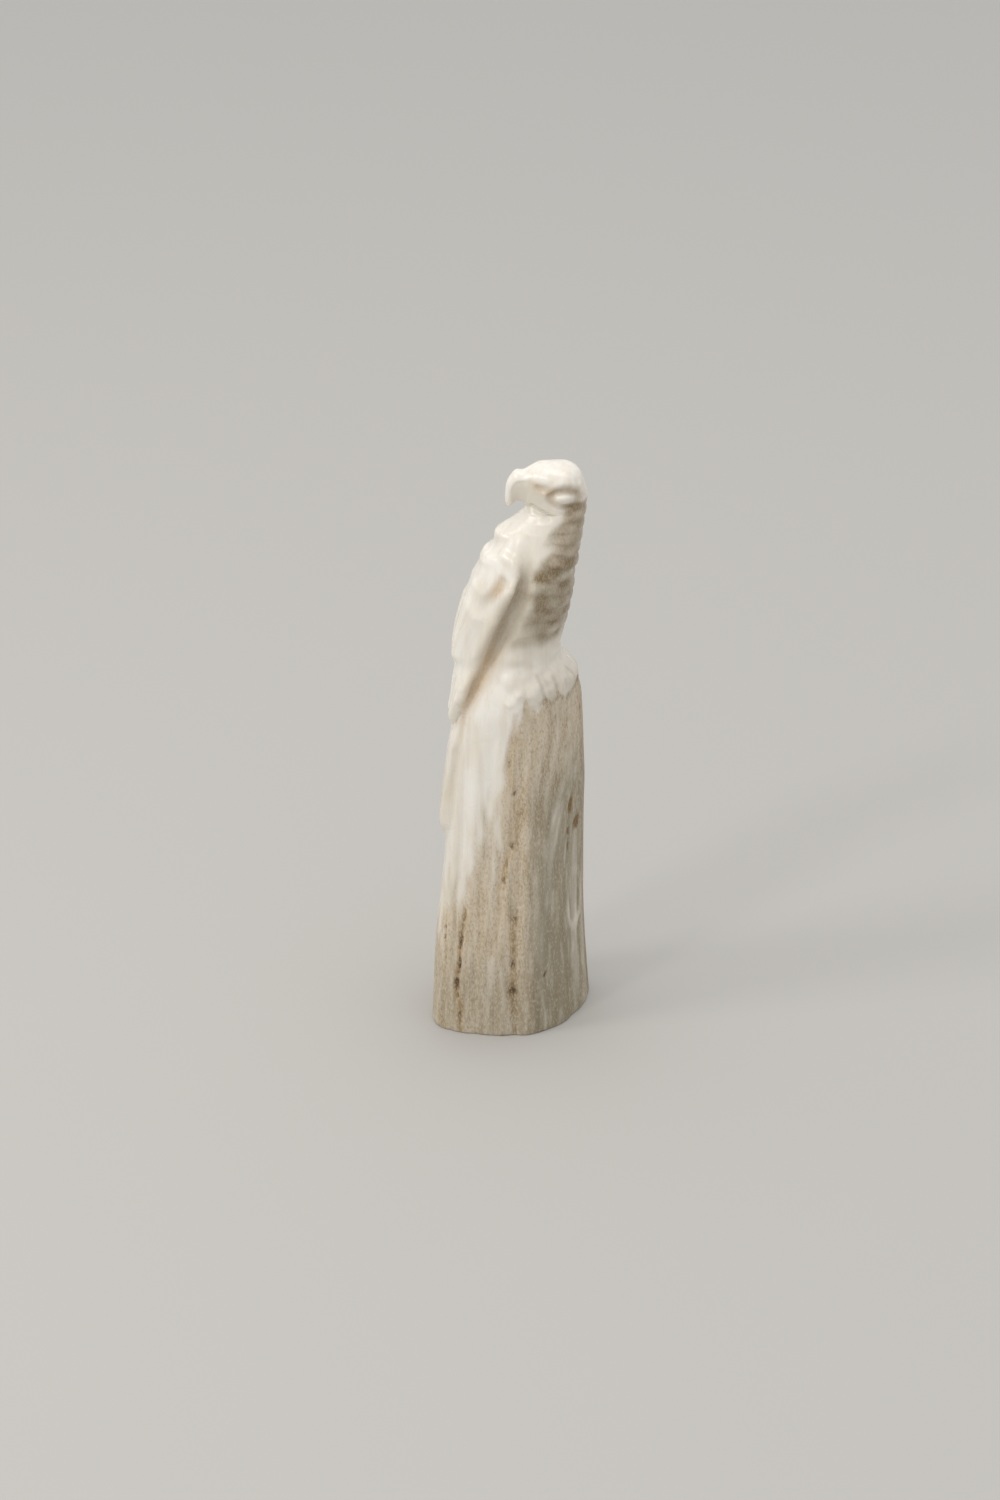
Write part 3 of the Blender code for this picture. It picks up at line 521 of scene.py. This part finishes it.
def carveBark(s):
    b, z, girth, side = barkSet, s["z"], s["girth"], s["side"]
    arc = girth * b["degree"]
    below = ramp(0.6, -1.0, s["aboveToes"])
    # the polish of the carved part runs down the back of the stump and fades into the bark
    edge = tableAt(girth, b["polishEdge"])
    wander = noiseAt(s["points"] * np.array((1, 1, 0.08)), 0.55, 5.0)
    blotch = noiseAt(s["points"] * np.array((1, 1, 0.3)), 0.8, 15.0)
    bark = ramp(*b["polishFade"], z - edge - 7 * wander - 8 * blotch) * below
    s["bark"] = bark
    # the grain leans on the breast side
    points = s["points"].copy()
    lean = ramp(110, 135, girth) * ramp(28, 50, z)
    points[:, 0] -= lean * (z - 28) * 0.22
    broad = noiseAt(points * np.array((1, 1, 0.08)), 0.42, 31.0)
    small = noiseAt(points * np.array((1, 1, 0.12)), 1.5, 47.0)
    s["height"] += bark * (b["broad"] * broad + b["grain"] * small)
    s["olive"] = np.clip(ramp(88, 116, girth + 12 * wander) * (0.15 + 0.75 * ramp(58, 42, z)) +
                         0.45 * ramp(26, 6, z) + 0.5 * broad, 0, 1)
    # painted shade on the stump's right edge, and darker towards the bottom
    s["dirtAndShade"] += 0.34 * bark * ramp(150, 170, girth) + 0.12 * bark * ramp(22, 4, z)
    s["dirtAndShade"] += bark * ramp(0.1, -0.5, broad) * 0.12 + bark * ramp(0.05, -0.4, small) * 0.16
    s["pale"] += bark * (ramp(0.05, 0.5, broad) * 0.5 + ramp(0.1, 0.45, small) * 0.35)
    for line, reach in b["ridges"]:
        away, along = lineDistance(arc, z, onStump(line))
        ridge = bump((away + 0.4 * small) / reach) * bark * bump((along - 0.5) / 0.55)
        s["height"] += b["ridgeRise"] * ridge
        s["pale"] += b["ridgePale"] * ridge
    for lines, pits, here in ((b["nearGrooves"], b["nearPits"], near),
                              (b["farGrooves"], b["farPits"], far)):
        onSide = (side == here) * bark
        for line, reach, depth, dirtAndShade, amber in lines:
            away = lineDistance(arc, z, onStump(line))[0] + 0.35 * small
            groove = bump(away / reach) * onSide
            s["height"] -= depth * groove
            s["dirtAndShade"] += dirtAndShade * groove
            s["amber"] += amber * groove
        for at, *rest in pits:
            offset = ovalOffset(arc, z, (at * b["degree"], *rest))
            pit = bump(offset + 0.5 * small) * (side == here)
            s["height"] -= b["pitCut"] * pit
            s["pit"] += pit
    # pits run together in chains that the grain breaks up
    onNear = side == near
    broken = noiseAt(s["points"] * np.array((1, 1, 0.45)), 1.9, 71.0)
    for line, reach in b["chains"]:
        away = lineDistance(arc, z, onStump(line))[0] + 0.3 * small
        chain = bump(away / reach) * ramp(-0.05, 0.3, broken + 0.3 * broad) * onNear * bark
        s["height"] -= b["chainCut"] * b["pitCut"] * chain
        s["pit"] += b["chainPit"] * chain
        s["amber"] += b["chainAmber"] * bump(away / (b["chainStain"] * reach)) * onNear * bark
    for at, *rest in b["rust"]:
        offset = ovalOffset(arc, z, (at * b["degree"], *rest))
        spot = bump(offset + 0.35 * small) * onNear
        s["height"] -= b["rustCut"] * b["pitCut"] * spot
        s["rust"] += b["rustStain"] * spot
    lens = ovalOffset(girth, z, b["lens"])
    middle = b["lens"][1]
    strength = 0.25 + 0.75 * ramp(middle + 3, middle - 3, z)        # its upper half is faint
    rim = bump((lens - 1 + 0.2 * small) / 0.3) * onNear * strength
    s["height"] += b["lensRise"] * rim
    s["pale"] += b["lensPale"] * rim


# The shade layer is painted shade; the dirt layer holds real dirt together with painted shade in creases
# and hollows
paintLayers = ("dirtAndShade", "amber", "shade", "bark", "olive", "pale", "pit", "rust")     # each from 0 to 1


def carve(mesh):
    points = soften(mesh, pointsOf(mesh))
    outward = pointsOf(mesh, "normal")
    x, y, z = points.T
    girth, side = girthOf(x, y, z)
    s = {"points": points, "x": x, "y": y, "z": z, "outY": outward[:, 1],
         "girth": girth, "side": side}
    for layer in ("height",) + paintLayers:
        s[layer] = np.zeros(len(points))
    carveHead(s)
    carveFeathers(s)
    carveCape(s)
    carveWings(s)
    carveFoot(s)
    carveBark(s)
    # no relief on the underside, and little just above it, so that the sawn edge stays clean
    s["height"][z < 2 * onFloor] = 0
    s["height"] *= ramp(0, 0.6, z)
    points = (points + outward * s["height"][:, None]) * mm
    points[:, 2] = np.maximum(points[:, 2], 0)
    mesh.vertices.foreach_set("co", points.ravel())
    for layer in paintLayers:
        data = mesh.attributes.new(layer, "FLOAT", "POINT")
        data.data.foreach_set("value", np.clip(s[layer], 0, 1).astype(np.float32))
    mesh.update()
    print("carved: relief from", round(s["height"].min(), 2), "to", round(s["height"].max(), 2), "mm")


def srgb(code):
    parts = [int(code[k:k + 2], 16) / 255 for k in (1, 3, 5)]
    return [p / 12.92 if p <= 0.04045 else ((p + 0.055) / 1.055) ** 2.4 for p in parts] + [1.0]


def addNode(tree, kind, settings=None, links=None):
    node = tree.nodes.new(kind)
    for name, value in (settings or {}).items():
        if isinstance(name, int) or name in node.inputs:
            node.inputs[name].default_value = value
        else:
            setattr(node, name, value)
    for name, output in (links or {}).items():
        tree.links.new(output, node.inputs[name])
    return node


def newMaterial(name):
    material = bpy.data.materials.new(name)
    material.use_nodes = True
    tree = material.node_tree
    return material, tree, tree.nodes["Principled BSDF"]


def blendOf(tree, amount, one, two):
    return addNode(tree, "ShaderNodeMix", {"data_type": "RGBA", 6: srgb(one), 7: srgb(two)},
                   {0: amount}).outputs[2]


# Antler, polished where it was carved and left in its own ridged bark below. Polish gives it a
# warm cream white with a soft shine and light that sinks in a little; the bark is duller, and
# greyer brown along its grooves and pores. Its IOR is that of bone.
antlerSet = {
    # the polish, the painted shade on it, and the dirt and amber that lie on it; the dirt colour also
    # paints shade in creases
    "cream": "#E7DFD1", "white": "#EFEBE3", "shade": "#D3CAB8", "dirtAndShade": "#83704F", "amber": "#BF9A62",
    # the bark, the paler tops of its ridges, its pores, pits and rust-brown spots
    "bark": "#D2C2A9", "olive": "#968D78", "barkPale": "#DDD5C6", "pore": "#8C7B62", "pit": "#5C4527",
    "rust": "#745624",
    "ior": 1.54, "polishRough": 0.21, "barkRough": 0.60, "cloudRough": 0.12,
    "sinkIn": 0.25, "sinkReach": (1.0, 0.75, 0.5), "sinkDepth": 0.9,       # depth in mm
    # Sizes of the patterns in mm: clouds, the grain across and along, and pores, which are drawn
    # about twice as coarse as real ones, so that they show.
    "cloud": 9.0, "streakAcross": 1.3, "streakAlong": 18.0, "poreAcross": 0.3, "poreAlong": 0.7,
    "poreDepth": 0.12, "polishBump": 0.12, "barkBump": 0.55,
}


def antlerMaterial():
    a = antlerSet
    material, tree, shader = newMaterial("carved_antler")
    where = addNode(tree, "ShaderNodeTexCoord").outputs["Object"]
    layer = {name: addNode(tree, "ShaderNodeAttribute", {"attribute_name": name}).outputs["Fac"]
             for name in paintLayers}

    def noiseOf(across, along, detail, rough=0.55):
        stretched = addNode(tree, "ShaderNodeMapping",
                            {"Scale": (1 / (across * mm), 1 / (across * mm), 1 / (along * mm))},
                            {"Vector": where}).outputs[0]
        return addNode(tree, "ShaderNodeTexNoise",
                       {"Scale": 1.0, "Detail": detail, "Roughness": rough},
                       {"Vector": stretched}).outputs["Fac"]

    def span(value, low, high, toLow=0.0, toHigh=1.0):
        return addNode(tree, "ShaderNodeMapRange",
                       {"interpolation_type": "SMOOTHSTEP", "From Min": low, "From Max": high,
                        "To Min": toLow, "To Max": toHigh},
                       {"Value": value}).outputs[0]

    def times(one, two):
        links = {0: one}
        settings = {"operation": "MULTIPLY", "use_clamp": True}
        if isinstance(two, float):
            settings[1] = two
        else:
            links[1] = two
        return addNode(tree, "ShaderNodeMath", settings, links).outputs[0]

    def paint(amount, below, code):
        return addNode(tree, "ShaderNodeMix", {"data_type": "RGBA", 7: srgb(code)},
                       {0: amount, 6: below}).outputs[2]

    cloud = noiseOf(a["cloud"], a["cloud"], 2.0)
    streak = noiseOf(a["streakAcross"], a["streakAlong"], 3.0)
    pores = noiseOf(a["poreAcross"], a["poreAlong"], 2.0, 0.7)
    whiter = addNode(tree, "ShaderNodeMath", {"operation": "ADD"},
                     {0: span(cloud, 0.3, 0.7, 0.0, 0.6), 1: span(streak, 0.3, 0.7, 0.0, 0.4)}).outputs[0]
    base = blendOf(tree, whiter, a["cream"], a["white"])
    # faint darker streaks of grain, in the colour of the painted shade
    base = paint(times(span(streak, 0.56, 0.32), 0.25), base, a["shade"])
    # painted shade on the polish
    base = paint(times(layer["shade"], 0.7), base, a["shade"])
    bark = blendOf(tree, layer["olive"], a["bark"], a["olive"])
    bark = paint(times(span(streak, 0.50, 0.35), 0.30), bark, a["olive"])
    bark = paint(times(layer["pale"], span(pores, 0.3, 0.6, 0.5, 1.0)), bark, a["barkPale"])
    bark = paint(times(span(pores, 0.50, 0.74), 0.50), bark, a["pore"])
    bark = paint(times(span(pores, 0.46, 0.32), 0.35), bark, a["barkPale"])
    # dirt, and the painted shade that shares its layer, gather in the open grain of the bark and lie
    # evenly on the polish
    openGrain = addNode(tree, "ShaderNodeMix", {"data_type": "FLOAT", 2: 1.0},
                        {0: span(layer["bark"], 0.0, 1.0, 0.25, 1.0),
                         3: span(pores, 0.38, 0.6, 0.45, 1.25)}).outputs[0]
    colour = addNode(tree, "ShaderNodeMix", {"data_type": "RGBA"},
                     {0: span(layer["bark"], 0.0, 0.95), 6: base, 7: bark}).outputs[2]
    colour = paint(times(layer["amber"], openGrain), colour, a["amber"])
    # dirt, and painted shade in creases and hollows
    colour = paint(times(layer["dirtAndShade"], openGrain), colour, a["dirtAndShade"])
    colour = paint(times(layer["pit"], span(pores, 0.40, 0.52, 0.35, 1.0)), colour, a["pit"])
    colour = paint(times(layer["rust"], span(pores, 0.36, 0.5, 0.7, 1.0)), colour, a["rust"])
    tree.links.new(colour, shader.inputs["Base Color"])
    rough = span(layer["bark"], 0.0, 1.0, a["polishRough"], a["barkRough"])
    rough = addNode(tree, "ShaderNodeMath", {"operation": "MULTIPLY_ADD", 1: a["cloudRough"]},
                    {0: cloud, 2: rough}).outputs[0]
    tree.links.new(rough, shader.inputs["Roughness"])
    shader.inputs["IOR"].default_value = a["ior"]
    shader.inputs["Subsurface Weight"].default_value = a["sinkIn"]
    shader.inputs["Subsurface Radius"].default_value = a["sinkReach"]
    shader.inputs["Subsurface Scale"].default_value = a["sinkDepth"] * mm
    # the open grain of the bark, and fainter the file marks on the polished part
    strength = addNode(tree, "ShaderNodeMix",
                       {"data_type": "FLOAT", 2: a["polishBump"], 3: a["barkBump"]},
                       {0: layer["bark"]}).outputs[0]
    relief = addNode(tree, "ShaderNodeBump", {"Distance": a["poreDepth"] * mm},
                     {"Strength": strength, "Height": pores})
    tree.links.new(relief.outputs[0], shader.inputs["Normal"])
    return material


# Antler as the saw left it on the underside: a dull pale rim of dense antler round a spongy tan
# core with small dark holes
marrowSet = {
    "rim": "#CDBF9F", "core": "#A68A62", "hole": "#5E4526", "rough": 0.72,
    "half": (12.0, 9.6), "cell": 0.9, "depth": 0.25, "bump": 0.6,       # mm, and a share
    "coreFade": (0.85, 0.66),               # share of the half sizes where the core begins, and is full
    "holeFade": (0.42, 0.25),               # share of a cell where a hole begins, and is full
}


def marrowMaterial():
    m = marrowSet
    material, tree, shader = newMaterial("antler_marrow")
    where = addNode(tree, "ShaderNodeTexCoord").outputs["Object"]
    halfLength, halfBreadth = m["half"]
    flat = addNode(tree, "ShaderNodeMapping",
                   {"Scale": (1 / (halfLength * mm), 1 / (halfBreadth * mm), 0.0)}, {"Vector": where})
    away = addNode(tree, "ShaderNodeVectorMath", {"operation": "LENGTH"},
                   {0: flat.outputs[0]}).outputs["Value"]
    begins, full = m["coreFade"]
    core = addNode(tree, "ShaderNodeMapRange", {"From Min": begins, "From Max": full},
                   {"Value": away}).outputs[0]
    cells = addNode(tree, "ShaderNodeTexVoronoi", {"Scale": 1 / (m["cell"] * mm), "Randomness": 0.9},
                    {"Vector": where}).outputs["Distance"]
    begins, full = m["holeFade"]
    hole = addNode(tree, "ShaderNodeMapRange", {"From Min": begins, "From Max": full},
                   {"Value": cells}).outputs[0]
    base = blendOf(tree, core, m["rim"], m["core"])
    pitted = addNode(tree, "ShaderNodeMath", {"operation": "MULTIPLY"}, {0: hole, 1: core}).outputs[0]
    colour = addNode(tree, "ShaderNodeMix", {"data_type": "RGBA", 7: srgb(m["hole"])},
                     {0: pitted, 6: base}).outputs[2]
    tree.links.new(colour, shader.inputs["Base Color"])
    shader.inputs["Roughness"].default_value = m["rough"]
    relief = addNode(tree, "ShaderNodeBump", {"Distance": m["depth"] * mm, "Strength": m["bump"]},
                     {"Height": cells})
    tree.links.new(relief.outputs[0], shader.inputs["Normal"])
    return material


def eagleCarving():
    mesh = fineSolid("eagle_carving")
    carve(mesh)
    mesh.name = "eagle_carved"
    mesh.materials.clear()
    mesh.materials.append(antlerMaterial())
    mesh.materials.append(marrowMaterial())
    for face in mesh.polygons:
        face.use_smooth = True
        face.material_index = int(face.center.z < onFloor * mm)
    eagle = bpy.data.objects.new("eagle_carved", mesh)
    bpy.context.scene.collection.objects.link(eagle)
    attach(eagle, "root")
    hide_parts("eagle_carving")
    triangles = sum(len(face.vertices) - 2 for face in mesh.polygons)
    print("eagle:", len(mesh.vertices), "points,", triangles, "triangles")


floorSet = {"radius": 4.0, "colour": "#B9B6B0", "roughness": 0.9}       # radius in metres


def makeFloor():
    bm = bmesh.new()
    bmesh.ops.create_circle(bm, cap_ends=True, segments=96, radius=floorSet["radius"])
    mesh = bpy.data.meshes.new("floor")
    bm.to_mesh(mesh)
    bm.free()
    floor = bpy.data.objects.new("floor", mesh)
    bpy.context.scene.collection.objects.link(floor)
    material, tree, shader = newMaterial("matt_paper")      # matt, so that it shows no shine
    shader.inputs["Base Color"].default_value = srgb(floorSet["colour"])
    shader.inputs["Roughness"].default_value = floorSet["roughness"]
    mesh.materials.append(material)


# Soft light from above and from the upper left in a pale room: places and sizes in mm, power in
# watts, and the room's colour and strength
lightSet = {
    "aim": (0, 0, 55),
    "above": {"at": (40, 40, 850), "size": 450, "power": 1.45, "colour": "#FFFFFF"},
    "left": {"at": (-600, -180, 480), "size": 200, "power": 1.05, "colour": "#FFFDF8"},
    "front": {"at": (-400, -440, 580), "size": 110, "power": 0.62, "colour": "#FFFDF8"},
    "room": ("#FBFCFF", 0.84),
}


def makeLights():
    for name in ("above", "left", "front"):
        light = lightSet[name]
        lamp = bpy.data.lights.new(name, "AREA")
        lamp.shape = "DISK"
        lamp.size = light["size"] * mm
        lamp.energy = light["power"]
        lamp.color = srgb(light["colour"])[:3]
        holder = bpy.data.objects.new(name, lamp)
        holder.location = Vector(light["at"]) * mm
        aim = Vector(lightSet["aim"]) * mm - holder.location
        holder.rotation_euler = aim.to_track_quat("-Z", "Y").to_euler()
        bpy.context.scene.collection.objects.link(holder)
    world = bpy.data.worlds.new("room")
    world.use_nodes = True
    back = world.node_tree.nodes["Background"]
    colour, strength = lightSet["room"]
    back.inputs["Color"].default_value = srgb(colour)
    back.inputs["Strength"].default_value = strength
    bpy.context.scene.world = world
    bpy.context.scene.view_settings.view_transform = "Standard"     # colours as they are mixed here


def makeCamera():
    lens = bpy.data.cameras.new("camera")
    lens.lens = cameraSet["lens"]
    lens.sensor_width = cameraSet["sensor"]
    lens.clip_start = cameraSet["clipStart"]
    camera = bpy.data.objects.new("camera", lens)
    down = math.radians(cameraSet["elevation"])
    ahead = Vector((0, math.cos(down), -math.sin(down)))
    camera.location = (Vector(cameraSet["aim"]) - ahead * cameraSet["distance"]) * mm
    camera.rotation_euler = (math.pi / 2 - down, 0, 0)
    bpy.context.scene.collection.objects.link(camera)
    bpy.context.scene.camera = camera


eagleCarving()
makeFloor()
makeLights()
makeCamera()
print("floor, lights and camera in place")
